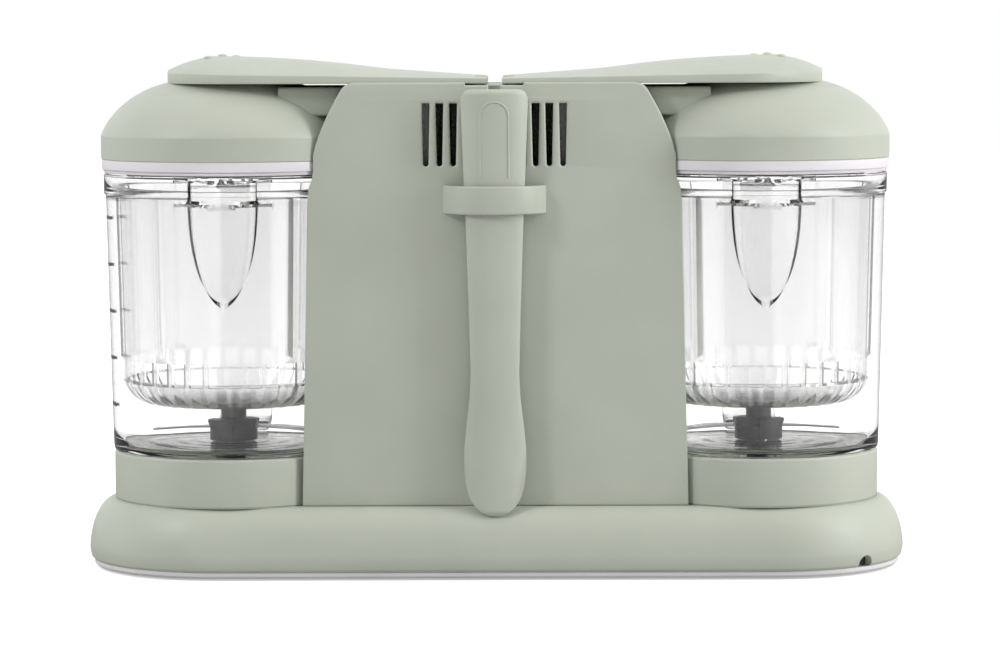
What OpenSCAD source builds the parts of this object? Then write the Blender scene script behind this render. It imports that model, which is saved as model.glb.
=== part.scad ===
// Double baby food maker: two clear bowls, each with a steam basket, a blade and a hinged lid,
// stand on one base at the two sides of a centre column that holds the boilers and the motors.
// Frame: +X to the right, +Y towards the control side, +Z up, origin on the ground
// under the middle of the whole footprint.

/* [Base] */
// Length of the base over its round ends
base_length = 400; // [398:1:410]
// Depth of the base
base_depth = 132; // [131:1:134]
// Number of feet along each long side
feet_per_side = 4; // [2:2:6]

/* [Bowls] */
// Distance between the axes of the two bowls
bowl_spacing = 258; // [256:1:260]
// Wall thickness of a bowl
bowl_wall = 2.5; // [2:0.1:2.8]
// Width of the bowl's handle
handle_width = 28; // [24:1:30]
// How far the handle reaches from the bowl's axis
handle_reach = 97.5; // [90:0.5:105]
// Slots around the steam basket
basket_slots = 36; // [12:2:40]
// Length of one blade wing from the axis
wing_reach = 42; // [30:1:48]

/* [Column] */
// Depth of the centre column
column_depth = 98; // [97:0.5:99]
// Height of the column's top edge
column_top = 235; // [234.8:0.1:235.1]
// Number of vent slots
vent_count = 11; // [5:2:13]
// Radius of a control knob
knob_radius = 19; // [14:1:24]

/* [Lids] */
// Radius of a lid
lid_radius = 63.5; // [63:0.1:64]
// Half of the lever's width
lever_half_width = 47; // [44:1:47]

/* [Spatula] */
// Height of the spatula's tip when it hangs in its holder
spatula_tip = 28.8; // [28.6:0.1:31]
// Overall length of the spatula
spatula_length = 203; // [196:1:210]

/* [Hidden] */
LEFT = -1;
RIGHT = 1;
SIDED = [
    "bowl_socket", "bowl", "bowl_handle", "steam_basket", "bowl_bush", "blade_locknut", "blade_hub",
    "blade_wings", "blade_shaft", "drive_coupling", "drive_pulley", "drive_belt", "motor_pulley",
    "motor_can", "lid_dome", "lid_lever", "lid_liner", "lid_seal", "tank_seal", "boiler", "knob"
];
COMMON = [
    "base_shell", "bottom_plate", "rubber_feet", "column_shell", "vent_cover", "control_cover",
    "top_deck", "hinge_pins", "spatula", "spatula_holder", "circuit_board", "cord_gland", "screws",
    "heater_plates", "filler_rings", "indicator_lenses", "drive_bearings"
];

$fn = 96;
eps = 0.01;
running_gap = 0.05;      // radial clearance of a shaft in its bearing
fixed_gap = 0.02;        // radial clearance of a pressed or glued pair
open_gap = 0.4;          // clearance between bodies that move past each other

base_radius = base_depth / 2;
base_half = base_length / 2 - base_radius;
bowl_x = bowl_spacing / 2;
column_face = column_depth / 2;
spout_front = 71.5;
body_y = (spout_front - handle_reach) / 2;

// heights, from the body's own datum plane, which lies body_z above the ground
body_z = 2;
ground = -body_z;
plate_bottom = -1;
plate_top = 2;
flank_start = 5;
base_top = 32;
base_wall = 3;
socket_top = 55.2;
bowl_floor = 53.6;
bowl_floor_top = 57.2;
bowl_step = 55.6;
basket_ledge = 181;
bowl_top = 190.6;
liner_bottom = 191.1;
dome_bottom = 197.5;
dome_spring = 209;
dome_flat = 236;
deck_top = 233.4;
deck_bottom = 230.4;
lever_bottom = 235.2;
pulley_bottom = 10.6;
pulley_top = 19.4;

// radii about a bowl's axis
socket_radius = 58.2;
bowl_foot_radius = 54.7;
bowl_low_radius = 58.5;
bowl_high_radius = 61.3;
bowl_rim_radius = 62.4;
bush_radius = 6;
shaft_radius = 3;
stem_radius = 4;
coupling_radius = 10;
hub_radius = 13;
hub_top = 69.7;

// spout
spout_axis = 53.5;
spout_width = 18;
spout_centre = 198.6;
spout_drop = 70;
spout_wall = 2.2;
spout_lip = 190;

// column
column_wall = 2.6;
cover_split = column_face - 6;
notch_width = 5.6;
trough_half = 14;
neck_half = 39;
neck_bottom = 219;
neck_top = 232.6;
neck_end = 69.5;

// hinge of the lids
hinge_x = 5.4;
hinge_z = 235.9;
pin_radius = 0.8;
barrel_radius = 1.5;
ear_places = [-30, 0, 30];
ear_width = 8;
lever_inner = 3.7;
lever_round_start = 118;
lever_reach = 159.7;

// drive
motor_x = 34;
motor_radius = 27;
motor_top = 140;
drive_groove = 22;
motor_groove = 8;
flange_rise = 1.5;
belt_thick = 2;

// boilers
boiler_x = 37;
boiler_radius = 24;
boiler_bottom = 165;
mouth_radius = 22.2;

// controls
knob_x = 45;
knob_z = 75;
lens_z = 112;
board_y = 38;
board_thick = 1.6;

// cord inlet, at an angle round the right end of the base
cord_angle = -48;
cord_bore = 2.4;
cord_z = 5.2;
notch_radius = 4.4;
notch_z = plate_top + 1.4;
gland_front = 60.4;
gland_length = 10.4;

sage = [0.67, 0.69, 0.64];
cream = [0.90, 0.88, 0.90];
clear = [0.85, 0.87, 0.90, 0.35];
black = [0.12, 0.12, 0.13];
steel = [0.72, 0.73, 0.75];
rubber = [0.35, 0.36, 0.37];

foot_height = 2.2;
screw_places = [[-150, -38], [-150, 38], [0, -50], [0, 50], [150, -38], [150, 38]];

// ---------- helpers ----------

function arc(cx, cy, r, from, to, steps = 8) =
    [for (i = [0:steps]) let (a = from + (to - from) * i / steps) [cx + r * cos(a), cy + r * sin(a)]];

function rounded_box(x0, y0, x1, y1, r) = concat(
    arc(x1 - r, y0 + r, r, -90, 0), arc(x1 - r, y1 - r, r, 0, 90),
    arc(x0 + r, y1 - r, r, 90, 180), arc(x0 + r, y0 + r, r, 180, 270));

function bezier(p0, p1, p2, p3, steps = 10) =
    [for (i = [0:steps]) let (t = i / steps, s = 1 - t)
        s * s * s * p0 + 3 * s * s * t * p1 + 3 * s * t * t * p2 + t * t * t * p3];

function mirrored_pair(points) =
    concat(points, [for (i = [len(points) - 1:-1:0]) if (points[i].x > 0) [-points[i].x, points[i].y]]);

module on_body() translate([0, body_y, body_z]) children();

module on_bowl(side) translate([side * bowl_x, body_y, body_z]) mirror([side < 0 ? 1 : 0, 0, 0]) children();

module on_side(side) translate([0, body_y, body_z]) mirror([side < 0 ? 1 : 0, 0, 0]) children();

// revolves an outline of [radius, height] points
module turned(points) rotate_extrude() polygon(points);

module tube(r_in, r_out, z0, z1) {
    translate([0, 0, z0]) difference() {
        cylinder(r = r_out, h = z1 - z0);
        translate([0, 0, -1]) cylinder(r = r_in, h = z1 - z0 + 2);
    }
}

// runs an outline of [distance, height] points along X between two round ends
module stadium(half, points) {
    for (side = [LEFT, RIGHT])
        translate([side * half, 0, 0])
            rotate([0, 0, -90 * side])
                rotate_extrude(angle = 180) polygon(points);
    rotate([90, 0, 90]) linear_extrude(2 * half, center = true) polygon(mirrored_pair(points));
}

// stands a drawing of the XZ plane upright, from y0 to y1
module upright(y0, y1) translate([0, y1, 0]) rotate([90, 0, 0]) linear_extrude(y1 - y0) children();

// ---------- base ----------

function base_outline(inset, z0) = concat(
    [[0, z0], [base_radius - 2.5 - inset, z0]],
    [for (i = [0:8]) let (a = 90 * i / 8)
        [base_radius - 13 + (13 - inset) * cos(a), flank_start + (base_top - flank_start - inset) * sin(a)]],
    [[0, base_top - inset]]);

module at_cord() translate([base_half, 0, 0]) rotate([0, 0, cord_angle]) children();

module base_shell() {
    boss_radius = 4;
    color(sage) on_body() {
        difference() {
            stadium(base_half, base_outline(0, plate_top));
            stadium(base_half, base_outline(base_wall, plate_top - 1));
            for (side = [LEFT, RIGHT]) {
                translate([side * bowl_x, 0, base_top - 2 * base_wall]) cylinder(r = 9, h = 4 * base_wall);
                translate([side * motor_x, 0, base_top - 2 * base_wall]) cylinder(r = 12, h = 4 * base_wall);
            }
            at_cord() {
                translate([gland_front - 1, 0, notch_z]) rotate([0, 90, 0])
                    cylinder(r = notch_radius, h = 10);
                translate([gland_front - 1, -notch_radius, 0]) cube([10, 2 * notch_radius, notch_z]);
            }
        }
        for (place = screw_places)
            translate(place) tube(1.5, boss_radius, plate_top, base_top - base_wall);
    }
}

module bottom_plate() {
    edge = base_radius - 2.3;
    louvre_step = 6;
    color(cream) on_body() difference() {
        stadium(base_half, [[0, plate_bottom], [edge - 1.2, plate_bottom], [edge, plate_bottom + 1.2],
                            [edge, plate_top], [0, plate_top]]);
        for (place = screw_places) translate(place) {
            translate([0, 0, ground]) cylinder(r = 1.6, h = 10);
            translate([0, 0, ground]) cylinder(r = 3.2, h = 2.4);
        }
        foot_places() translate([0, 0, ground]) cylinder(r = 8.2, h = foot_height);
        for (side = [LEFT, RIGHT], i = [-3:3])
            translate([side * motor_x + i * louvre_step - 1.4, -15, ground]) cube([2.8, 30, 10]);
    }
}

module foot_places() {
    span = 320;
    for (i = [0:feet_per_side - 1], side = [-1, 1]) {
        x = -span / 2 + span * i / (feet_per_side - 1);
        translate([x, side * (abs(x) > span / 4 ? 18 : 46), 0]) children();
    }
}

module rubber_feet() color(rubber) on_body() foot_places() translate([0, 0, ground])
    turned([[0, 0], [7.4, 0], [8, 0.6], [8, foot_height], [0, foot_height]]);

module screws() {
    color(steel) on_body() for (place = screw_places) translate(place) difference() {
        union() {
            translate([0, 0, ground + 1.2]) cylinder(r = 2.9, h = 1.2);
            translate([0, 0, ground + 2]) cylinder(r = 1.5 - fixed_gap, h = 10);
        }
        translate([-2, -0.4, ground + 1]) cube([4, 0.8, 0.8]);
        translate([-0.4, -2, ground + 1]) cube([0.8, 4, 0.8]);
    }
}

// sleeve of the cord inlet, on a block that stands on the bottom plate
module cord_gland() {
    collar = 5;
    block_top = 17;
    color(rubber) on_body() at_cord() difference() {
        translate([gland_front - gland_length, -collar, plate_top])
            cube([gland_length, 2 * collar, block_top - plate_top]);
        translate([gland_front - gland_length - 1, 0, cord_z]) rotate([0, 90, 0])
            cylinder(r = cord_bore, h = gland_length + 2);
    }
}

// ---------- bowl, basket and their seat ----------

module bowl_socket(side) {
    hole = 12.6;
    color(sage) on_bowl(side) turned([
        [hole, 35], [52, 35], [52, base_top], [socket_radius, base_top], [socket_radius, socket_top - 0.8],
        [socket_radius - 0.8, socket_top], [55.2, socket_top], [55.2, 38], [hole, 38]]);
}

// outer face of a bowl, as [radius, height] points from its step to its rim
bowl_face = [
    [bowl_low_radius - 1.2, bowl_step], [bowl_low_radius, bowl_step + 1.4],
    [bowl_high_radius, 179.5], [bowl_rim_radius - 0.2, 180.5], [bowl_rim_radius, bowl_top]
];

// half-width of the spout's outer skin, and the outline of that skin
function spout_half(z, width) = width * sqrt(max(0, 1 - pow((spout_centre - z) / spout_drop, 2)));
function spout_outline(inset, z_top) = concat(
    [for (i = [0:12])
        let (lift = 1.6 * inset * (1 - i / 12),
             z = spout_centre - spout_drop * cos(90 * pow(i / 12, 0.75)) + lift)
        if (z < z_top) [max(0, spout_half(z - lift, spout_width - inset)), z]],
    [[spout_half(z_top, spout_width - inset), z_top], [0, z_top]]);

module bowl(side) {
    color(clear) on_bowl(side) difference() {
        union() {
            turned(concat([[bush_radius + fixed_gap, bowl_floor], [50, bowl_floor], [50, 42],
                           [bowl_foot_radius, 42], [bowl_foot_radius, bowl_step]], bowl_face,
                          [[bush_radius + fixed_gap, bowl_top]]));
            translate([0, -spout_axis, 0]) turned(spout_outline(0, spout_lip));
        }
        turned([[0, bowl_floor_top], [bowl_low_radius - bowl_wall - 4, bowl_floor_top],
                [bowl_low_radius - bowl_wall, bowl_floor_top + 4], [58.6, basket_ledge],
                [bowl_rim_radius - bowl_wall, basket_ledge], [bowl_rim_radius - bowl_wall, bowl_top + 1],
                [0, bowl_top + 1]]);
        translate([0, -spout_axis, 0]) turned(spout_outline(spout_wall, bowl_top + 1));
    }
}

module bowl_handle(side) {
    bar = 6.5;
    low = 56;
    high = 186;
    color(clear) on_bowl(side) difference() {
        rotate([90, 0, 90]) linear_extrude(handle_width, center = true) difference() {
            polygon(rounded_box(50, low, handle_reach, high, 14));
            polygon(rounded_box(45, low + bar, handle_reach - bar, high - bar, 9));
        }
        turned(concat([[0, bowl_floor]], bowl_face, [[0, bowl_top]]));
    }
}

module steam_basket(side) {
    floor_z = 78;
    corner = 15;
    wall = 2;
    low = 53.6;
    high = 55.6;
    rim = 59.6;
    rim_top = basket_ledge + 2.4;
    color(clear) on_bowl(side) difference() {
        turned(concat(
            [[0, floor_z]], arc(low - corner, floor_z + corner, corner, -90, 0),
            [[high, basket_ledge], [rim, basket_ledge], [rim, rim_top], [high - wall, rim_top]],
            arc(low - corner, floor_z + corner, corner - wall, 0, -90), [[0, floor_z + wall]]));
        for (i = [0:basket_slots - 1]) rotate(i * 360 / basket_slots)
            translate([low - 4, -1.6, 89]) cube([8, 3.2, 10]);
        for (i = [0:11]) rotate(i * 30) translate([14, -1.5, floor_z - 1]) cube([22, 3, 4]);
    }
}

module bowl_bush(side) color(black) on_bowl(side) tube(shaft_radius + running_gap, bush_radius, 49.6, 57.6);

module blade_locknut(side) {
    color(black) on_bowl(side) difference() {
        tube(bush_radius + fixed_gap, 11, 49.6, bowl_floor - 0.1);
        for (i = [0:5]) rotate(i * 60) translate([11, 0, 48]) cylinder(r = 1.6, h = 10, $fn = 24);
    }
}

// ---------- blade and drive ----------

module blade_hub(side) {
    neck_radius = 6.2;
    neck_top_z = 77.2;
    color(black) on_bowl(side) difference() {
        union() {
            turned([[0, 58], [hub_radius - 0.8, 58], [hub_radius, 59], [hub_radius, hub_top - 3],
                    [hub_radius - 3, hub_top], [neck_radius, hub_top], [neck_radius, neck_top_z - 1],
                    [neck_radius - 1, neck_top_z], [0, neck_top_z]]);
            intersection() {
                cylinder(r = hub_radius, h = hub_top);
                translate([2, -4, 60]) cube([20, 24, hub_top - 60]);
            }
        }
        translate([0, 0, 50]) cylinder(r = shaft_radius + fixed_gap, h = 12);
    }
}

module blade_wings(side) {
    color(steel) on_bowl(side) difference() {
        for (half = [0, 180]) rotate(half) translate([0, 0, 64.5]) linear_extrude(1.2)
            polygon(concat([[0, -5], [wing_reach * 0.6, -5.5]],
                           bezier([wing_reach * 0.8, -4], [wing_reach, -1], [wing_reach, 6],
                                  [wing_reach - 4, 10], 6),
                           bezier([wing_reach - 8, 5], [wing_reach * 0.5, 4], [10, 5], [0, 5], 6)));
        cylinder(r = hub_radius + fixed_gap, h = 100);
    }
}

module blade_shaft(side) color(steel) on_bowl(side) translate([0, 0, 44]) cylinder(r = shaft_radius, h = 18);

module drive_coupling(side) {
    jaw_top = 49;
    plate = 40;
    color(black) on_bowl(side) difference() {
        union() {
            translate([0, 0, pulley_bottom]) cylinder(r = stem_radius, h = plate - pulley_bottom + eps);
            translate([0, 0, plate]) cylinder(r = coupling_radius, h = jaw_top - plate);
        }
        translate([0, 0, 44]) cylinder(r = shaft_radius + fixed_gap, h = 10);
        for (i = [0:3]) rotate(45 + i * 90) translate([5, -1.5, jaw_top - 3]) cube([10, 3, 4]);
    }
}

module grooved_pulley(bore, groove) {
    rim = groove + flange_rise;
    turned([[bore, pulley_bottom], [rim, pulley_bottom], [rim, pulley_bottom + 1.2],
            [groove, pulley_bottom + 1.6], [groove, pulley_top - 1.6], [rim, pulley_top - 1.2],
            [rim, pulley_top], [bore, pulley_top]]);
}

module drive_pulley(side) color(rubber) on_bowl(side) grooved_pulley(stem_radius + fixed_gap, drive_groove);

module motor_pulley(side) {
    color(steel) on_side(side) translate([motor_x, 0, 0]) {
        grooved_pulley(shaft_radius - eps, motor_groove);
        translate([0, 0, pulley_bottom - 0.6]) cylinder(r = shaft_radius, h = 48);
    }
}

module drive_belt(side) {
    belt_low = pulley_bottom + 1.8;
    belt_high = pulley_top - 1.8;
    color(black) on_side(side) translate([0, 0, belt_low]) linear_extrude(belt_high - belt_low)
        difference() {
            belt_loop(open_gap + belt_thick);
            belt_loop(open_gap);
        }
}

module belt_loop(gap) hull() {
    translate([motor_x, 0]) circle(r = motor_groove + gap);
    translate([bowl_x, 0]) circle(r = drive_groove + gap);
}

module motor_can(side) {
    color(steel) on_side(side) translate([motor_x, 0, 0]) difference() {
        union() {
            translate([0, 0, base_top]) cylinder(r = motor_radius, h = motor_top - base_top - 6);
            translate([0, 0, motor_top - 6]) cylinder(r1 = motor_radius, r2 = motor_radius - 4, h = 3);
            translate([0, 0, motor_top - 3]) cylinder(r = 8, h = 3);
        }
        translate([0, 0, base_top - 1]) cylinder(r = shaft_radius + running_gap, h = 30);
        translate([0, 0, base_top - 1]) cylinder(r = 11, h = 3);
    }
}

module drive_bearings() {
    color(steel) on_body() for (side = [LEFT, RIGHT])
        translate([side * bowl_x, 0, 0]) {
            tube(stem_radius + running_gap, 9 - fixed_gap, base_top - 8, base_top + 2);
            tube(9 - 2 * fixed_gap, 12, base_top - 6, base_top - base_wall - 5 * fixed_gap);
        }
}

// ---------- column ----------

// room left round a bowl and its lid, as [radius, height] points grown by an inset
function bowl_room(grow) = [
    [0, 20], [60.8 + grow, 20], [60.8 + grow, base_top], [62.8 + grow, 180], [63 + grow, 184],
    [64.6 + grow, 190.5], [64.8 + grow, 260], [0, 260]];

function column_outline(inset) =
    let (edge = bowl_x - 39.1 - inset,
         top = column_top - inset,
         low = base_top - (inset > 0 ? 1 : 0),
         bend = [edge - 17.1, 232 - inset])
    concat([[0, low], [edge + 6, low], [edge + 6, 184.9]],
           bezier([edge, 185], [edge - 1.6, 202], [edge - 9.6, 220 - inset], bend),
           bezier(bend, [edge - 18.5, 233.6 - inset], [edge - 20, top], [edge - 24, top], 3),
           [[0, top]]);

module column_solid(inset) difference() {
    upright(-column_face + inset, column_face - inset) polygon(mirrored_pair(column_outline(inset)));
    for (side = [LEFT, RIGHT]) translate([side * bowl_x, 0, 0]) turned(bowl_room(inset));
}

module column_skin() difference() {
    column_solid(0);
    column_solid(column_wall);
}

module neck_room() for (side = [LEFT, RIGHT])
    translate([side > 0 ? neck_end - 0.9 : -neck_end + 0.9 - 40, -neck_half - 0.8, neck_bottom - 0.8])
        cube([40, 2 * neck_half + 1.6, 40]);

module slab(y0, y1, z0, z1) translate([-120, y0, z0]) cube([240, y1 - y0, z1 - z0]);

module column_shell() {
    color(sage) on_body() difference() {
        intersection() {
            column_skin();
            slab(-cover_split, cover_split, base_top, deck_bottom);
        }
        neck_room();
    }
}

module vent_slots() {
    vent_step = 6.55;
    vent_low = 195;
    vent_high = 225;
    for (i = [0:vent_count - 1])
        translate([(i - (vent_count - 1) / 2) * vent_step, 0]) {
            translate([0, vent_low + 1.3]) circle(r = 1.3, $fn = 24);
            polygon([[-1.3, vent_low + 1.3], [1.3, vent_low + 1.3], [1.9, vent_high], [-1.9, vent_high]]);
        }
}

// shallow recess in both covers that the inner ends of the levers turn into
module lever_recess() translate([-trough_half, -60, 233.6]) cube([2 * trough_half, 120, 10]);

module vent_cover() {
    color(sage) on_body() difference() {
        intersection() {
            column_skin();
            slab(-column_face - 1, -cover_split, base_top, 260);
        }
        lever_recess();
        upright(-column_face - 1, -cover_split + 1) vent_slots();
        translate([-notch_width / 2, -column_face - 1, 229]) cube([notch_width, 10, 20]);
        for (side = [LEFT, RIGHT])
            translate([side * 23.7 - 1.5, -column_face - 1, 173.5]) cube([3, 5, 11.6]);
    }
}

module control_cover() {
    color(sage) on_body() {
        difference() {
            intersection() {
                column_skin();
                slab(cover_split, column_face + 1, base_top, 260);
            }
            lever_recess();
            for (side = [LEFT, RIGHT]) {
                translate([side * knob_x, column_face - 10, knob_z]) rotate([-90, 0, 0])
                    cylinder(r = shaft_radius + running_gap, h = 20);
                translate([side * knob_x, column_face - 10, lens_z]) rotate([-90, 0, 0])
                    cylinder(r = 3, h = 20);
            }
        }
        for (x = [-56, 56], z = [66, 134])
            translate([x, board_y + board_thick, z]) rotate([-90, 0, 0])
                cylinder(r = 3, h = column_face - column_wall - board_y - board_thick + eps);
    }
}

module top_deck() {
    shelf = 2.2;
    color(sage) on_body() {
        difference() {
            intersection() {
                column_solid(0);
                slab(-cover_split, cover_split, deck_bottom, deck_top);
            }
            neck_room();
            for (side = [LEFT, RIGHT])
                translate([side * boiler_x, 0, deck_bottom - 1]) cylinder(r = mouth_radius, h = 10);
        }
        neck_walls(shelf);
        for (side = [LEFT, RIGHT], y = ear_places) hinge_ear(side, y);
    }
}

// closes the column behind and under each neck
module neck_walls(shelf) {
    intersection() {
        column_solid(column_wall + 0.2);
        for (side = [LEFT, RIGHT]) mirror([side < 0 ? 1 : 0, 0, 0]) {
            translate([neck_end - 0.9 - shelf, -neck_half - 0.8, neck_bottom - 0.8 - shelf])
                cube([shelf, 2 * neck_half + 1.6, deck_bottom - neck_bottom + 0.8 + shelf + eps]);
            translate([neck_end - 0.9 - shelf, -neck_half - 0.8, neck_bottom - 0.8 - shelf])
                cube([30, 2 * neck_half + 1.6, shelf]);
        }
    }
}

module hinge_ear(side, y) {
    translate([side * hinge_x, y, 0]) difference() {
        union() {
            translate([0, -ear_width / 2, hinge_z]) rotate([-90, 0, 0])
                cylinder(r = barrel_radius, h = ear_width, $fn = 32);
            translate([-barrel_radius, -ear_width / 2, deck_top - eps])
                cube([2 * barrel_radius, ear_width, hinge_z - deck_top]);
        }
        translate([0, -ear_width, hinge_z]) rotate([-90, 0, 0])
            cylinder(r = pin_radius + eps, h = 2 * ear_width, $fn = 32);
    }
}

module hinge_pins() color(steel) on_body() for (side = [LEFT, RIGHT])
    translate([side * hinge_x, -42, hinge_z]) rotate([-90, 0, 0]) cylinder(r = pin_radius, h = 84, $fn = 32);

module circuit_board() {
    color("darkgreen") on_body() {
        translate([-60, board_y, 60]) cube([120, board_thick, 80]);
        for (side = [LEFT, RIGHT])
            translate([side * 24 - 8, board_y - 6, 88]) cube([16, 6 + eps, 22]);
    }
}

module indicator_lenses() color("white") on_body() for (side = [LEFT, RIGHT])
    translate([side * knob_x, column_face - column_wall - 1, lens_z]) rotate([-90, 0, 0])
        cylinder(r = 3 - fixed_gap, h = column_wall + 1.4);

module knob(side) {
    depth = 15;
    color(cream) on_side(side) translate([knob_x, 0, knob_z]) rotate([-90, 0, 0]) {
        translate([0, 0, board_y + board_thick + 0.6]) cylinder(r = shaft_radius, h = column_face - board_y);
        translate([0, 0, column_face + open_gap]) difference() {
            cylinder(r1 = knob_radius, r2 = knob_radius - 1.5, h = depth);
            for (half = [-1, 1])
                translate([half * (knob_radius + 4) - knob_radius, -knob_radius - 1, 5])
                    cube([2 * knob_radius, 2 * knob_radius + 2, depth]);
        }
    }
}

// ---------- boilers ----------

module boiler(side) {
    color(steel) on_side(side) translate([boiler_x, 0, 0]) turned([
        [0, boiler_bottom], [20, boiler_bottom], [boiler_radius, boiler_bottom + 4],
        [boiler_radius, deck_bottom], [boiler_radius - 2, deck_bottom],
        [boiler_radius - 2, boiler_bottom + 5],
        [19, boiler_bottom + 2], [0, boiler_bottom + 2]]);
}

module heater_plates() color(steel) on_body() for (side = [LEFT, RIGHT])
    translate([side * boiler_x, 0, boiler_bottom - 5]) cylinder(r = 18, h = 5);

module filler_rings() color(cream) on_body() for (side = [LEFT, RIGHT])
    translate([side * boiler_x, 0, 0])
        tube(19.6, mouth_radius - fixed_gap, deck_bottom + fixed_gap, deck_top);

// ---------- lids ----------

function dome_outline(inset) =
    let (radius = lid_radius - inset, low = dome_bottom - (inset > 0 ? 1 : 0), high = dome_flat - inset)
    concat([[0, low], [radius, low]],
           bezier([radius, dome_spring], [radius - 3.2, dome_spring + 9.5],
                  [47 - inset, high - 2], [22, high]),
           [[0, high]]);

module lid_dome(side) {
    wall = 2.4;
    color(sage) on_bowl(side) difference() {
        union() {
            turned(dome_outline(0));
            translate([neck_end - bowl_x, -neck_half, neck_bottom])
                cube([45, 2 * neck_half, neck_top - neck_bottom]);
        }
        turned(dome_outline(wall));
        translate([neck_end - bowl_x + wall, -neck_half + wall, neck_bottom + wall])
            cube([45, 2 * (neck_half - wall), neck_top - neck_bottom - 2 * wall]);
    }
}

module lid_liner(side) color(cream) on_bowl(side) turned([
    [12, liner_bottom], [lid_radius - 0.2, liner_bottom], [lid_radius - 0.2, dome_bottom],
    [58, dome_bottom], [58, liner_bottom + 2.5], [12, liner_bottom + 2.5]]);

module lid_seal(side) color(rubber) on_bowl(side) turned([
    [47, liner_bottom], [48.5, 189.3], [51, 189.3], [52.5, liner_bottom]]);

module tank_seal(side) color(rubber) on_side(side) translate([boiler_x, 0, 0])
    tube(17.5, 21, deck_top + 0.5, lever_bottom);

// crest and side edge of the lever's top, over the distance from the column's middle
crest = [[3, 237.0], [51, 241], [73, 243.7], [89, 245.3], [108, 246.6], [125, 247.3], [138, 247.5],
         [147, 245.6], [153, 243.6], [159.7, 240.6]];
side_edge = [[3, 236.8], [80, 238], [121, 238.6], [149, 239.2], [159.7, 239.4]];

function lever_half(x) = x < lever_round_start ? lever_half_width :
    lever_half_width * sqrt(max(0, 1 - pow((x - lever_round_start) / (lever_reach - lever_round_start), 2)));

// share of the crown's height left at t, from 0 on the crest to 1 on the side edge
function crown(t, x) = let (flat = max(0, 1 - x / 51)) 1 - pow(max(0, t - flat) / (1 - flat + eps), 1.7);

function lever_top(x, t) = let (low = lookup(x, side_edge)) low + (lookup(x, crest) - low) * crown(abs(t), x);

// cross-section of the lever at a distance from the column's middle
function lever_section(x) = concat(
    [for (j = [-6:6]) let (t = j / 6) [lever_half(x) * t, lever_top(x, t)]],
    [[lever_half(x), lever_bottom], [-lever_half(x), lever_bottom]]);

// the lever's plate, stretched over sections from its inner end to its outer end
module lever_plate() {
    sliver = 0.02;
    stations = concat([lever_inner, 28, 51, 73, 89, 104, lever_round_start],
                      [for (a = [15:15:75]) lever_round_start + (lever_reach - lever_round_start) * sin(a)],
                      [lever_reach - 2 * sliver]);
    hull() for (x = stations)
        translate([x, 0, 0]) rotate([90, 0, 90]) linear_extrude(sliver) polygon(lever_section(x));
}

module lid_lever(side) {
    slot = ear_width + 0.9;
    color(sage) on_side(side) difference() {
        union() {
            lever_plate();
            translate([hinge_x, -41, hinge_z]) rotate([-90, 0, 0])
                cylinder(r = barrel_radius, h = 82, $fn = 32);
            lever_dots();
        }
        translate([hinge_x, -42.5, hinge_z]) rotate([-90, 0, 0])
            cylinder(r = pin_radius + running_gap, h = 85, $fn = 32);
        for (y = ear_places)
            translate([0, y - slot / 2, 230]) cube([9.5, slot, 12]);
        translate([bowl_x, 0, dome_flat - 10]) cylinder(r = 60, h = 10);
    }
}

// three small raised dots near the lever's outer end
module lever_dots() for (i = [-1:1])
    translate([133 + 6 * i, -9 * i, lever_top(133, 0) - 1.6]) sphere(r = 2.6, $fn = 24);

// ---------- spatula ----------

spatula_front = 62.4;
front_curve = 25;

// half-width of the spatula over its height above the tip
spatula_half_width = [[0, 3], [1.5, 6.5], [4, 9.5], [8, 12], [14, 13.9], [22, 14.8], [32, 14.8],
    [44, 13.6], [56, 12.1], [68, 11.6], [100, 12.4], [144, 13.9], [160, 14.6], [200, 16.1], [203, 14.5]];

module spatula() {
    heights = [for (i = [0:58]) let (s = i / 58) spatula_length * s * s * (3 - 2 * s)];
    scale_up = 203 / spatula_length;
    half = [for (h = heights) [lookup(h * scale_up, spatula_half_width), spatula_tip + h]];
    color(sage) on_body() intersection() {
        upright(-spatula_front - 1, -40) polygon(mirrored_pair(half));
        translate([0, -spatula_front + front_curve, 0]) cylinder(r = front_curve, h = 300, $fn = 128);
        rotate([90, 0, 90]) linear_extrude(60, center = true) polygon([
            [-spatula_front - 1, spatula_tip - 1], [-59.9, spatula_tip - 1], [-59.6, spatula_tip + 5],
            [-56.5, 62], [-52, 96], [-51, 120], [-51, spatula_tip + spatula_length - 4],
            [-54, spatula_tip + spatula_length + 1], [-spatula_front - 1, spatula_tip + spatula_length + 1]]);
    }
}

module strap_arc(depth, half) {
    r = (half * half + depth * depth) / (2 * depth);
    intersection() {
        translate([0, -column_face - depth + r]) circle(r = r, $fn = 128);
        translate([-half, -column_face - depth]) square([2 * half, depth]);
    }
}

module spatula_holder() {
    low = 172.5;
    high = 186;
    color(sage) on_body() {
        difference() {
            translate([0, 0, low]) linear_extrude(high - low) difference() {
                strap_arc(16.7, 24.8);
                translate([0, 0.5]) strap_arc(14.8, 22.6);
            }
            translate([-22.6, -column_face - 0.5, low - 1]) cube([45.2, 2, 20]);
        }
        for (side = [LEFT, RIGHT])
            translate([side * 23.7 - 1.1, -column_face - eps, 174]) cube([2.2, 2, 10.6]);
    }
}

// ---------- drawing ----------

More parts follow.
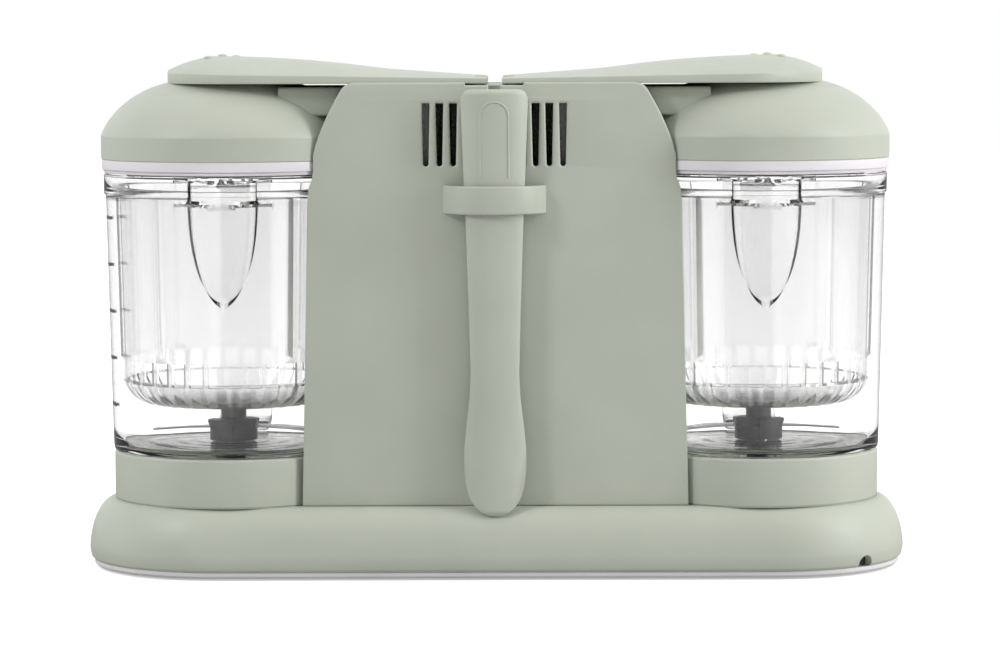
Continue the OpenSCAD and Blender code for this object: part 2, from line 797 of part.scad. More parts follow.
bowl_socket(LEFT);  // left_bowl_socket
bowl(LEFT);  // left_bowl
bowl_handle(LEFT);  // left_bowl_handle
steam_basket(LEFT);  // left_steam_basket
bowl_bush(LEFT);  // left_bowl_bush
blade_locknut(LEFT);  // left_blade_locknut
blade_hub(LEFT);  // left_blade_hub
blade_wings(LEFT);  // left_blade_wings
blade_shaft(LEFT);  // left_blade_shaft
drive_coupling(LEFT);  // left_drive_coupling
drive_pulley(LEFT);  // left_drive_pulley
drive_belt(LEFT);  // left_drive_belt
motor_pulley(LEFT);  // left_motor_pulley
motor_can(LEFT);  // left_motor_can
lid_dome(LEFT);  // left_lid_dome
lid_lever(LEFT);  // left_lid_lever
lid_liner(LEFT);  // left_lid_liner
lid_seal(LEFT);  // left_lid_seal
tank_seal(LEFT);  // left_tank_seal
boiler(LEFT);  // left_boiler
knob(LEFT);  // left_knob
bowl_socket(RIGHT);  // right_bowl_socket
bowl(RIGHT);  // right_bowl
bowl_handle(RIGHT);  // right_bowl_handle
steam_basket(RIGHT);  // right_steam_basket
bowl_bush(RIGHT);  // right_bowl_bush
blade_locknut(RIGHT);  // right_blade_locknut
blade_hub(RIGHT);  // right_blade_hub
blade_wings(RIGHT);  // right_blade_wings
blade_shaft(RIGHT);  // right_blade_shaft
drive_coupling(RIGHT);  // right_drive_coupling
drive_pulley(RIGHT);  // right_drive_pulley
drive_belt(RIGHT);  // right_drive_belt
motor_pulley(RIGHT);  // right_motor_pulley
motor_can(RIGHT);  // right_motor_can
lid_dome(RIGHT);  // right_lid_dome
lid_lever(RIGHT);  // right_lid_lever
lid_liner(RIGHT);  // right_lid_liner
lid_seal(RIGHT);  // right_lid_seal
tank_seal(RIGHT);  // right_tank_seal
boiler(RIGHT);  // right_boiler
knob(RIGHT);  // right_knob
base_shell();
bottom_plate();
rubber_feet();
column_shell();
vent_cover();
control_cover();
top_deck();
hinge_pins();
spatula();
spatula_holder();
circuit_board();
cord_gland();
screws();
heater_plates();
filler_rings();
indicator_lenses();
drive_bearings();
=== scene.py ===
"""Looks of the double baby food maker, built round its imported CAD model.

Lengths in the shape code are millimetres in the body's own frame: X to the right, Y from the vent side
to the control side with 0 on the column's middle, Z up with the base's top at BASE_TOP. put() turns them into
the row frame, in metres.
"""

import math

import bmesh
import bpy
from mathutils import Matrix, Vector


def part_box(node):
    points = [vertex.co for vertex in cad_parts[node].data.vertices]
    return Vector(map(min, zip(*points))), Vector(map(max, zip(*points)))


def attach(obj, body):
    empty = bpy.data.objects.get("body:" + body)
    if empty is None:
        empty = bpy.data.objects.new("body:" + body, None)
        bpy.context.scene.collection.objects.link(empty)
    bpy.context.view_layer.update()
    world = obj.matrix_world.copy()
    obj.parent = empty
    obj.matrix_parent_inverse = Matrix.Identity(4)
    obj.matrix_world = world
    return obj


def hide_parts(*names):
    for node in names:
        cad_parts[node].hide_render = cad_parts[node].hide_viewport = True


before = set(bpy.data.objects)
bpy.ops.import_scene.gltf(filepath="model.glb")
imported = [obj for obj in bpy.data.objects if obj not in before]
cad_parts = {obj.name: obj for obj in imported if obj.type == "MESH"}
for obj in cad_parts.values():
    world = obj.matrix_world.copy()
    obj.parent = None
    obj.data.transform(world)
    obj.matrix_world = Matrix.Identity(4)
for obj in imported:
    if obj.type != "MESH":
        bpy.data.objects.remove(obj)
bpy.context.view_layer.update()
SCENE = bpy.context.scene

MM = 0.001
SIDES = {"left": -1, "right": 1}
ROUND_STEPS = 160


# ---------- sizes taken from the frame ----------

def span(node):
    """Lowest and highest corner of a CAD node in millimetres, in the body's own frame."""
    lo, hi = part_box(node)
    shift = Vector((0, BODY_Y, BODY_Z))
    return lo / MM - shift, hi / MM - shift


def middle(node):
    lo, hi = span(node)
    return (lo + hi) / 2


BASE_TOP = 32.0
BODY_Y = (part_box("base_shell")[0].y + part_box("base_shell")[1].y) / (2 * MM)
BODY_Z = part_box("left_bowl_socket")[0].z / MM - BASE_TOP
BOWL_X = middle("right_bowl_socket").x
BASE_RADIUS = span("base_shell")[1].y
BASE_HALF = span("base_shell")[1].x - BASE_RADIUS
BASE_LOW = span("base_shell")[0].z
SOCKET_TOP = span("right_bowl_socket")[1].z
COLUMN_FACE = span("control_cover")[1].y
COLUMN_TOP = span("vent_cover")[1].z
COVER_BACK = span("vent_cover")[1].y
BOWL_TOP = span("right_bowl")[1].z
LIP_FRONT = -span("right_bowl")[0].y
LINER_LOW = span("right_lid_liner")[0].z
LINER_TOP = span("right_lid_liner")[1].z
LID_RADIUS = span("right_lid_dome")[1].y
DOME_FLAT = span("right_lid_dome")[1].z
LEVER_LOW = span("right_lid_lever")[0].z
LEVER_REACH = span("right_lid_lever")[1].x
LEVER_HALF = span("right_lid_lever")[1].y
SPATULA_LOW, SPATULA_HIGH = span("spatula")
HOLDER_LOW, HOLDER_HIGH = span("spatula_holder")


# ---------- mesh helpers ----------

def put(points, side=1, x0=0.0):
    """Takes points from the body's own frame in millimetres to the row frame in metres."""
    return [Vector((side * (x0 + x), y + BODY_Y, z + BODY_Z)) * MM for x, y, z in points]


def steps(start, end, count):
    """That many evenly spaced values, both ends included."""
    return [start + (end - start) * i / (count - 1) for i in range(count)]


def arc(start, end, count):
    """Angles in radians between two angles in degrees."""
    return [math.radians(degrees) for degrees in steps(start, end, count)]


def lookup(x, table):
    """Reads a table of (x, value) rows, in a straight line between two rows."""
    for (x0, y0), (x1, y1) in zip(table, table[1:]):
        if x <= x1:
            return y0 + (y1 - y0) * max(0.0, (x - x0) / (x1 - x0))
    return table[-1][1]


def rounded(points, closed=True, cuts=4):
    """Rounds the corners of an outline. Each point is (x, y) or (x, y, radius)."""
    out = []
    for i, point in enumerate(points):
        here = Vector(point[:2])
        radius = point[2] if len(point) > 2 else 0
        if radius == 0 or (not closed and i in (0, len(points) - 1)):
            out.append(tuple(here))
            continue
        back = Vector(points[i - 1][:2]) - here
        ahead = Vector(points[(i + 1) % len(points)][:2]) - here
        cut = min(radius / math.tan(back.angle(ahead) / 2), 0.48 * back.length, 0.48 * ahead.length)
        start = here + back.normalized() * cut
        end = here + ahead.normalized() * cut
        for t in steps(0, 1, cuts + 1):
            out.append(tuple(start * (1 - t) ** 2 + here * 2 * t * (1 - t) + end * t * t))
    return out


def loft(rings, closed=True):
    """Faces between closed rings of equally many points; an open loft is capped at both ends."""
    n = len(rings[0])
    points = [p for ring in rings for p in ring]
    faces = []
    for i in range(len(rings) if closed else len(rings) - 1):
        a, b = i * n, (i + 1) % len(rings) * n
        faces += [(a + j, a + (j + 1) % n, b + (j + 1) % n, b + j) for j in range(n)]
    if not closed:
        faces += [tuple(range(n)), tuple(range(len(points) - n, len(points)))]
    return points, faces


def turn(r, z, angle, x0=0.0, y0=0.0):
    """A point on a circle; angle 0 faces the vent side and 90 degrees faces outwards."""
    return (x0 + r * math.sin(angle), y0 - r * math.cos(angle), z)


def turned(profile, count=128, x0=0.0, y0=0.0):
    """A closed outline of (radius, height) points, revolved."""
    angles = [2 * math.pi * i / count for i in range(count)]
    return loft([[turn(r, z, a, x0, y0) for r, z in profile] for a in angles])


def swept(path, section, to_point, closed=False):
    """Carries a section of (out, across) points along a flat path; out is to the path's left."""
    rings = []
    for i, here in enumerate(path):
        before = path[i - 1] if i or closed else path[0]
        after = path[(i + 1) % len(path)] if i < len(path) - 1 or closed else path[-1]
        ahead = (Vector(after) - Vector(before)).normalized()
        rings.append([to_point(here[0] - ahead.y * out, here[1] + ahead.x * out, w) for out, w in section])
    return loft(rings, closed)


def joined(*shapes):
    """Several (points, faces) shapes as one."""
    points, faces = [], []
    for more_points, more_faces in shapes:
        base = len(points)
        points += more_points
        faces += [tuple(base + k for k in face) for face in more_faces]
    return points, faces


def finished_mesh(name, points, faces, sharp_angle=32):
    """A mesh with doubled points merged and faces outwards, shaded smooth up to the sharp angle."""
    mesh = bpy.data.meshes.new(name)
    mesh.from_pydata(points, [], faces)
    bm = bmesh.new()
    bm.from_mesh(mesh)
    bmesh.ops.remove_doubles(bm, verts=bm.verts, dist=1e-6)
    bmesh.ops.dissolve_degenerate(bm, edges=bm.edges, dist=1e-7)
    bmesh.ops.recalc_face_normals(bm, faces=bm.faces)
    bm.to_mesh(mesh)
    bm.free()
    mesh.shade_smooth()
    mesh.set_sharp_from_angle(angle=math.radians(sharp_angle))
    return mesh


def piece(name, shape, finish, body, replaced=(), side=1, x0=0.0, sharp_angle=32):
    """Shows a shape as a piece of a body, in place of the CAD nodes that it replaces."""
    points, faces = shape
    mesh = finished_mesh(name, put(points, side, x0), faces, sharp_angle)
    mesh.materials.append(FINISHES[finish])
    obj = bpy.data.objects.new(name, mesh)
    SCENE.collection.objects.link(obj)
    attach(obj, body)
    if replaced:
        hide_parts(*replaced)


def evaluated(obj):
    """A free copy of an object's mesh with its modifiers or curve settings applied."""
    SCENE.collection.objects.link(obj)
    graph = bpy.context.evaluated_depsgraph_get()
    mesh = bpy.data.meshes.new_from_object(obj.evaluated_get(graph))
    bpy.data.objects.remove(obj)
    return mesh


def plate(outlines, y0, y1, bevel):
    """A flat plate in the XZ plane with holes and rounded edges, as points in millimetres and faces."""
    curve = bpy.data.curves.new("plate", "CURVE")
    curve.dimensions = "2D"
    curve.fill_mode = "BOTH"
    curve.extrude = (y1 - y0) / 2 - bevel
    curve.bevel_depth = bevel
    curve.bevel_resolution = 3
    curve.offset = -bevel
    for outline in outlines:
        spline = curve.splines.new("POLY")
        spline.points.add(len(outline) - 1)
        for point, (x, z) in zip(spline.points, outline):
            point.co = (x, z, 0, 1)
        spline.use_cyclic_u = True
    mesh = evaluated(bpy.data.objects.new("plate", curve))
    points = [(v.co.x, (y0 + y1) / 2 - v.co.z, v.co.y) for v in mesh.vertices]
    return points, [tuple(p.vertices) for p in mesh.polygons]


def cut(shape, cutters):
    """The shape less its cutters, by an exact boolean."""
    obj = bpy.data.objects.new("solid", finished_mesh("solid", *shape))
    tool = bpy.data.objects.new("tool", finished_mesh("tool", *joined(*cutters)))
    SCENE.collection.objects.link(tool)
    modifier = obj.modifiers.new("cut", "BOOLEAN")
    modifier.operation = "DIFFERENCE"
    modifier.solver = "EXACT"
    modifier.object = tool
    mesh = evaluated(obj)
    bpy.data.objects.remove(tool)
    return [tuple(v.co) for v in mesh.vertices], [tuple(p.vertices) for p in mesh.polygons]


def block(x0, x1, y0, y1, z0, z1):
    """A box between two corners."""
    ring = [(x0, y0), (x1, y0), (x1, y1), (x0, y1)]
    return loft([[(x, y, z) for x, y in ring] for z in (z0, z1)], closed=False)


# ---------- materials ----------

def linear(*rgb):
    """A screen colour of 0 to 255 as the linear colour that a shader takes."""
    return tuple(((c / 255 + 0.055) / 1.055) ** 2.4 if c > 10 else c / 255 / 12.92 for c in rgb) + (1.0,)


def scaled(colour, factor):
    """The colour made lighter or darker."""
    return tuple(c * factor for c in colour[:3]) + (1.0,)


class Nodes:
    """One Principled material under construction."""

    def __init__(self, name):
        self.material = bpy.data.materials.new(name)
        self.material.use_nodes = True
        self.tree = self.material.node_tree
        self.shader = self.tree.nodes["Principled BSDF"]
        self.place = self.add("ShaderNodeTexCoord").outputs["Object"]

    def add(self, kind, **values):
        node = self.tree.nodes.new(kind)
        for name, value in values.items():
            if name in node.inputs:
                node.inputs[name].default_value = value
            else:
                setattr(node, name, value)
        return node

    def link(self, source, target):
        self.tree.links.new(source, target)

    def set(self, **values):
        for name, value in values.items():
            self.shader.inputs[name.replace("_", " ")].default_value = value

    def noise(self, size, detail=2.0, stretch=(1, 1, 1)):
        """Noise whose grains are about that many millimetres, longer where stretch is above 1."""
        mapping = self.add("ShaderNodeMapping", Scale=tuple(1 / (s * size * MM) for s in stretch))
        self.link(self.place, mapping.inputs["Vector"])
        noise = self.add("ShaderNodeTexNoise", Scale=1.0, Detail=detail)
        self.link(mapping.outputs["Vector"], noise.inputs["Vector"])
        return noise.outputs["Fac"]

    def spread(self, source, low, high):
        """Turns a noise of 0.3 to 0.7 into low to high."""
        ends = {"From Min": 0.3, "From Max": 0.7, "To Min": low, "To Max": high}
        change = self.add("ShaderNodeMapRange", **ends)
        self.link(source, change.inputs["Value"])
        return change.outputs["Result"]

    def colour(self, source, first, second):
        mix = self.add("ShaderNodeMix", data_type="RGBA")
        mix.inputs["A"].default_value = first
        mix.inputs["B"].default_value = second
        self.link(source, mix.inputs["Factor"])
        self.link(mix.outputs["Result"], self.shader.inputs["Base Color"])

    def bump(self, *layers):
        """Each layer is (source, height in millimetres)."""
        normal = None
        for source, height in layers:
            bump = self.add("ShaderNodeBump", Strength=1.0, Distance=height * MM)
            self.link(source, bump.inputs["Height"])
            if normal:
                self.link(normal, bump.inputs["Normal"])
            normal = bump.outputs["Normal"]
        self.link(normal, self.shader.inputs["Normal"])


def moulded(name, rgb, rough, grain=0.5, depth=0.004, vary=0.03, **extra):
    """Moulded plastic or rubber: a fine spark-eroded grain, a slow sink wave and a slight change of tone."""
    nodes = Nodes(name)
    tone = nodes.spread(nodes.noise(35, 3), 0, 1)
    base = linear(*rgb)
    nodes.colour(tone, scaled(base, 1 - vary), scaled(base, 1 + vary))
    nodes.link(nodes.spread(nodes.noise(6, 4), rough - 0.04, rough + 0.05), nodes.shader.inputs["Roughness"])
    nodes.bump((nodes.noise(grain, 2), depth), (nodes.noise(28, 1), 0.012))
    nodes.set(**extra)
    return nodes.material


def clear_plastic(name, rgb, rough):
    """Clear moulded plastic with a slight flow wave; lamps shine through it."""
    nodes = Nodes(name)
    nodes.set(Base_Color=linear(*rgb), Transmission_Weight=1.0, IOR=1.5)
    nodes.link(nodes.spread(nodes.noise(9, 3), rough, rough + 0.02), nodes.shader.inputs["Roughness"])
    nodes.bump((nodes.noise(16, 1, (1, 1, 3)), 0.02))
    path = nodes.add("ShaderNodeLightPath")
    clear = nodes.add("ShaderNodeBsdfTransparent", Color=linear(246, 246, 246))
    mix = nodes.add("ShaderNodeMixShader")
    nodes.link(path.outputs["Is Shadow Ray"], mix.inputs["Fac"])
    nodes.link(nodes.shader.outputs["BSDF"], mix.inputs[1])
    nodes.link(clear.outputs["BSDF"], mix.inputs[2])
    nodes.link(mix.outputs["Shader"], nodes.tree.nodes["Material Output"].inputs["Surface"])
    return nodes.material


def brushed_steel(name, rgb, rough, stretch):
    """Steel with fine lines, longer where stretch is above 1."""
    nodes = Nodes(name)
    lines = nodes.noise(0.35, 3, stretch)
    base = linear(*rgb)
    nodes.colour(nodes.spread(lines, 0, 1), scaled(base, 0.86), base)
    nodes.link(nodes.spread(lines, rough - 0.06, rough + 0.1), nodes.shader.inputs["Roughness"])
    nodes.bump((lines, 0.003))
    nodes.set(Metallic=1.0)
    return nodes.material


def board_material(name):
    """Green solder mask over a grid of lighter tracks."""
    nodes = Nodes(name)
    brick = nodes.add("ShaderNodeTexBrick", Scale=120.0, Color1=linear(24, 92, 52),
                      Color2=linear(30, 108, 60), Mortar=linear(74, 138, 84))
    nodes.link(nodes.place, brick.inputs["Vector"])
    nodes.link(brick.outputs["Color"], nodes.shader.inputs["Base Color"])
    nodes.link(nodes.spread(nodes.noise(3), 0.3, 0.5), nodes.shader.inputs["Roughness"])
    nodes.bump((brick.outputs["Fac"], 0.03))
    return nodes.material


FINISHES = {
    "sage": moulded("sage_satin", (184, 189, 176), 0.44, Specular_IOR_Level=0.45),
    "spatula": moulded("spatula_satin", (184, 189, 176), 0.40, grain=0.4),
    "trim": moulded("white_trim", (226, 222, 226), 0.40),
    # the underside white is a little darker than the trim white: painted shade for the contact shadow where
    # the plate sits on the floor
    "shaded_underside": moulded("white_underside", (224, 221, 223), 0.5),
    "clear": clear_plastic("clear_plastic", (249, 249, 249), 0.0),
    "basket": clear_plastic("basket_plastic", (245, 245, 245), 0.10),
    "handle": clear_plastic("handle_plastic", (236, 236, 236), 0.08),
    "black": moulded("black_satin", (26, 26, 27), 0.42, depth=0.006, vary=0.08),
    "steel": brushed_steel("brushed_steel", (196, 197, 199), 0.26, (1, 12, 1)),
    "rubber": moulded("soft_rubber", (88, 89, 90), 0.75, grain=0.9, depth=0.012, vary=0.08),
    "board": board_material("solder_mask"),
    "lens": moulded("lens_diffuser", (238, 240, 236), 0.25, depth=0.002),
    "mark": moulded("printed_mark", (84, 88, 84), 0.5, depth=0.002),
}


# ---------- base ----------

def stadium_ring(reach, z, count=40):
    """A ring round the base at a distance from its long axis."""
    ring = []
    for side in (1, -1):
        for i in range(count + 1):
            a = math.pi * i / count - math.pi / 2
            ring.append((side * (BASE_HALF + reach * math.cos(a)), side * reach * math.sin(a), z))
    return ring


def stadium(profile):
    """A closed outline of (reach, height) points, carried round the base."""
    return loft([stadium_ring(max(reach, 0.01), z) for reach, z in profile])


CORD_ANGLE = math.radians(-48)
NOTCH_RADIUS = 4.4
NOTCH_MIDDLE = BASE_LOW + 1.4


def cord_notch():
    """The arched opening for the cord in the base's lower edge, as a solid to cut away."""
    arch = [(NOTCH_RADIUS * math.cos(a), NOTCH_MIDDLE + NOTCH_RADIUS * math.sin(a)) for a in arc(0, 180, 25)]
    arch += [(-NOTCH_RADIUS, BASE_LOW - 0.5), (NOTCH_RADIUS, BASE_LOW - 0.5)]
    cos, sin = math.cos(CORD_ANGLE), math.sin(CORD_ANGLE)
    return loft([[(BASE_HALF + reach * cos - w * sin, reach * sin + w * cos, z) for w, z in arch]
                 for reach in (BASE_RADIUS - 7, BASE_RADIUS + 4)], closed=False)


def base_shell():
    """The base's moulding: a bulging flank over a drawn-in lower edge."""
    bulge, wall = 13, 3
    seam = BASE_LOW + 3
    flank = [(BASE_RADIUS - bulge + bulge * math.cos(a), seam + (BASE_TOP - seam) * math.sin(a))
             for a in arc(0, 90, 19)]
    edge = BASE_RADIUS - 2.5
    lower_edge = [(edge - wall, BASE_LOW), (edge, BASE_LOW, 0.4), (edge + 1.6, BASE_LOW + 1.2, 1.2)]
    outer = rounded(lower_edge + flank[1:], False)
    inner = [(reach - wall, z - wall if z > 20 else z) for reach, z in reversed(flank[2:])]
    top = [(30, BASE_TOP), (2, BASE_TOP), (2, BASE_TOP - wall), (30, BASE_TOP - wall)]
    shape = cut(stadium(outer + top + inner), [cord_notch()])
    piece("base_moulding", shape, "sage", "housing", ["base_shell"], sharp_angle=30)


def bottom_plate():
    lo, hi = span("bottom_plate")
    edge = hi.y
    outline = rounded([(2, lo.z), (edge - 1.2, lo.z, 0.5), (edge, lo.z + 1.2, 0.5), (edge, hi.z, 0.3),
                       (2, hi.z)])
    # the plate takes the underside white, painted a little darker than the trim as shade from its contact
    # with the floor
    piece("bottom_moulding", stadium(outline), "shaded_underside", "housing", ["bottom_plate"])


base_shell()
bottom_plate()


# ---------- bowls ----------

BOWL_FLOOR = 57.2
UNDER_FLOOR = 53.6
WAVE_START = 16
SPOUT_AXIS = 53.5
SPOUT_WIDTH = LIP_FRONT - SPOUT_AXIS
SPOUT_CENTRE = BOWL_TOP + 8.0
SPOUT_DROP = 73.0
SPOUT_WALL = 2.2
SPOUT_SPREAD = math.radians(27)
LEDGE = 181
FLANGE_LEVELS = (178.2, 189.6)
FLANGE_REACH = 3.2
FLANGE_SPREAD = math.radians(6.5)


def spout_width(z, inset):
    """Half of the spout's width at a height; it closes to a point at the spout's foot."""
    drop = (SPOUT_CENTRE - z) / SPOUT_DROP
    return (SPOUT_WIDTH - inset) * (1 - max(0.0, drop) ** 3.2) ** 0.62 if drop < 1 else 0.0


def spout_edge(radius, width):
    """Angle from the spout's middle at which its skin meets the bowl's skin."""
    reach = (SPOUT_AXIS ** 2 + radius ** 2 - width ** 2) / (2 * SPOUT_AXIS * radius)
    return math.acos(min(1.0, reach)) if reach < 1 else 0.0


def bowl_point(radius, z, inset, u):
    """A point of the bowl's skin; u runs from -1 to 1 across the spout and on to 2 either side of it."""
    width = spout_width(z, inset)
    edge = max(spout_edge(radius, width), math.radians(0.35))
    if abs(u) > 2:
        angle = SPOUT_SPREAD + (abs(u) - 2) * (math.pi - SPOUT_SPREAD)
    elif abs(u) > 1:
        angle = edge + (abs(u) - 1) * (SPOUT_SPREAD - edge)
    else:
        angle = abs(u) * edge
        across = SPOUT_AXIS * math.sin(angle)
        if width > abs(across):
            radius = max(radius, SPOUT_AXIS * math.cos(angle) + math.sqrt(width ** 2 - across ** 2))
    if inset == 0 and min(abs(z - level) for level in FLANGE_LEVELS) < 0.75:
        beyond = max(0.0, angle - edge) / FLANGE_SPREAD
        room = LIP_FRONT - radius if abs(u) <= 1 else FLANGE_REACH
        radius += min(FLANGE_REACH * max(0.0, 1 - beyond) ** 0.5, room)
    return turn(radius, z, math.copysign(angle, u))


def skin_radius(z):
    """Radius of the bowl's outer skin, which widens a little towards the top."""
    return 58.6 + 2.7 * (z - 57) / 122.5


def bowl_outline():
    """(radius, height, inset) points up the outer skin, over the rim and down the inner skin."""
    outer = [(50, 42), (54, 42), (54.7, 42.7), (54.7, 55.2), (57.4, 55.6), (58.3, 56.3), (58.6, 58)]
    outer += [(skin_radius(z), z) for z in steps(61, 178, 72)]
    outer += [(61.35, 179.5), (61.4, 179.7), (61.5, 180.0), (61.9, 180.5), (62.2, 181.0), (62.25, 181.2)]
    outer += [(62.25 + 0.1 * (z - 181) / 9, z) for z in steps(182, 189.2, 7)]
    outer += [(62.35, 189.5), (62.4, 189.7), (62.4, BOWL_TOP - 0.4), (62.2, BOWL_TOP - 0.1)]
    inner = [(61.9, BOWL_TOP), (60.4, BOWL_TOP), (59.95, BOWL_TOP - 0.3), (59.9, 189), (59.9, 181.4)]
    inner += [(59.7, LEDGE), (58.9, LEDGE)]
    inner += [(55.9 + 2.9 * (z - 57) / 123, z) for z in steps(180.4, 66, 70)]
    inner += [(55.9, 62), (55.2, 59.6), (53.6, 58), (51.5, BOWL_FLOOR)]
    floor = [(r, BOWL_FLOOR + 0.14 * math.sin(r * 0.55) * (1 if r > WAVE_START else 0))
             for r in steps(50, 6.02, 45)]
    under = [(6.02, UNDER_FLOOR)]
    under += [(r, UNDER_FLOOR + 0.12 * math.sin(r * 0.75)) for r in steps(14, 48, 35)]
    under += [(50, UNDER_FLOOR - 0.2)]
    return [(r, z, 0) for r, z in outer] + [(r, z, SPOUT_WALL) for r, z in inner + floor + under]


def bowl(name, side):
    across = [math.sin(math.pi / 2 * t) for t in steps(-1, 1, 41)]
    beside = [1 + t for t in steps(0, 1, 25)[1:]]
    round_back = [2 + t for t in steps(0, 1, 73)[1:]]
    places = across + beside + round_back
    places += [-u for u in reversed(round_back[:-1])] + [-u for u in reversed(beside)]
    outline = bowl_outline()
    rings = [[bowl_point(r, z, inset, u) for r, z, inset in outline] for u in places]
    piece(f"{name}_clear_bowl", loft(rings), "clear", f"{name}_bowl", [f"{name}_bowl"], side, BOWL_X, 28)


def bowl_handle(name, side):
    lo, hi = span(f"{name}_bowl_handle")
    half = (hi.x - lo.x) / 2
    bar, corner = 6.5, 12
    low, high, reach = lo.z + bar / 2, hi.z - bar / 2, hi.y - bar / 2
    path = rounded([(57.2, low), (reach, low, corner), (reach, high, corner), (59.6, high)], False, 12)
    section = rounded([(-bar / 2, -half, 2), (bar / 2, -half, 2), (bar / 2, half, 2), (-bar / 2, half, 2)])
    shape = swept(path, section, lambda y, z, w: (w, y, z))
    piece(f"{name}_clear_handle", shape, "handle", f"{name}_bowl", [f"{name}_bowl_handle"], side, BOWL_X)


BASKET_SLOTS = 36
SLOT_LOW, SLOT_HIGH = 89.2, 100.6
COLUMNS_PER_SLOT = 6
OPEN_COLUMNS = 4
RIB_ANGLES = (35, 75, 105, 145)


def steam_basket(name, side):
    """The clear basket: a flange on top, ribs down the wall, slots round the bottom and a fluted corner."""
    lo, hi = span(f"{name}_steam_basket")
    wall = 2.0
    pitch = 360 / BASKET_SLOTS
    half_slot = 3.7
    columns = [(k + 0.5) * pitch + d for k in range(BASKET_SLOTS)
               for d in (-half_slot, -half_slot + 0.25, 0, half_slot - 0.25, half_slot, 4.6)]
    corner = 15
    foot = 53.6 - corner
    bend = [(foot + corner * math.cos(a), lo.z + corner - corner * math.sin(a)) for a in arc(90, 10, 11)]
    side_wall = [(53.3, SLOT_LOW), (53.5, SLOT_LOW + 0.01), (53.7, SLOT_HIGH)]
    side_wall += [(53.6 + 2.0 * (z - 93) / 88, z) for z in steps(102, 180.4, 30)]
    rim = rounded([(55.6, 180.4), (55.6, LEDGE, 0.3), (59.5, LEDGE, 0.5), (59.5, hi.z, 0.6),
                   (55.2, hi.z, 0.5)], False)
    outer = [(0.01, lo.z)] + bend + side_wall

    def inside(r, z):
        thinner = wall if z > lo.z + 0.1 else 0
        lift = 0 if z > 95 else wall * max(0.0, 1 - (z - lo.z) / corner)
        return max(r - thinner, 0.01), z + lift

    inner = [inside(r, z) for r, z in reversed(outer)]
    outline = outer + rim[1:] + inner
    top = len(outer) - 1
    last = len(outline) - 1
    low_row = next(j for j, (r, z) in enumerate(outer) if abs(z - SLOT_LOW) < 0.005)

    def place(j, degrees):
        r, z = outline[j]
        nearest = abs((degrees / pitch) % 1 - 0.5) * pitch
        if j <= top:
            if 0 < j < low_row:
                r -= 0.9 * math.cos(math.radians(90 * min(1, nearest / half_slot)))
            folded = min(degrees % 360, 360 - degrees % 360)
            if SLOT_HIGH < z < LEDGE - 0.5 and min(abs(folded - rib) for rib in RIB_ANGLES) < 1.4:
                r += 1.1
        return turn(r, z, math.radians(degrees))

    n = len(outline)
    points = [place(j, d) for d in columns for j in range(n)]
    faces = []
    for i in range(len(columns)):
        a, b = i * n, (i + 1) % len(columns) * n
        step = i % COLUMNS_PER_SLOT
        is_slot = step < OPEN_COLUMNS
        for j in range(n):
            k = (j + 1) % n
            if is_slot and j in (low_row, low_row + 1):
                inner_j = last - j
                if j == low_row:
                    faces.append((a + j, b + j, b + inner_j, a + inner_j))
                if j == low_row + 1:
                    faces.append((a + k, b + k, b + inner_j - 1, a + inner_j - 1))
                if step == 0:
                    faces.append((a + j, a + k, a + inner_j - 1, a + inner_j))
                if step == OPEN_COLUMNS - 1:
                    faces.append((b + j, b + k, b + inner_j - 1, b + inner_j))
                continue
            if is_slot and j in (last - low_row - 1, last - low_row - 2):
                continue
            faces.append((a + j, a + k, b + k, b + j))
    piece(f"{name}_clear_basket", (points, faces), "basket", f"{name}_bowl",
          [f"{name}_steam_basket"], side, BOWL_X, 28)


def bowl_socket(name, side):
    lo, hi = span(f"{name}_bowl_socket")
    radius = (hi.y - lo.y) / 2
    ring = rounded([
        (12.6, 35, 0.3), (52, 35), (52, BASE_TOP - 0.2), (radius - 0.7, BASE_TOP - 0.2),
        (radius - 0.5, BASE_TOP + 0.25), (radius, BASE_TOP + 0.7, 0.5), (radius, SOCKET_TOP, 1.2),
        (55.2, SOCKET_TOP, 0.5), (55.2, 38, 2), (12.6, 38, 0.5)])
    piece(f"{name}_socket_ring", turned(ring, ROUND_STEPS), "sage", "housing",
          [f"{name}_bowl_socket"], side, BOWL_X)


MARK_LEVELS = (78.4, 101.2, 124.0, 146.7, 169.4)


def volume_marks(name, side):
    """Short printed lines on the bowl's left side, one for each step of its scale."""
    lean = -side * math.radians(78)
    shapes = []
    for k, z in enumerate(MARK_LEVELS):
        radius = skin_radius(z)
        half = math.radians(9 if k % 2 == 0 else 7)
        ring = rounded([(radius - 0.02, z - 0.7, 0.05), (radius + 0.1, z - 0.7, 0.05),
                        (radius + 0.1, z + 0.7, 0.05), (radius - 0.02, z + 0.7, 0.05)])
        angles = steps(lean - half, lean + half, 13)
        shapes.append(loft([[turn(r, h, a) for r, h in ring] for a in angles], closed=False))
    piece(f"{name}_volume_marks", joined(*shapes), "mark", f"{name}_bowl", (), side, BOWL_X)


# ---------- blade ----------

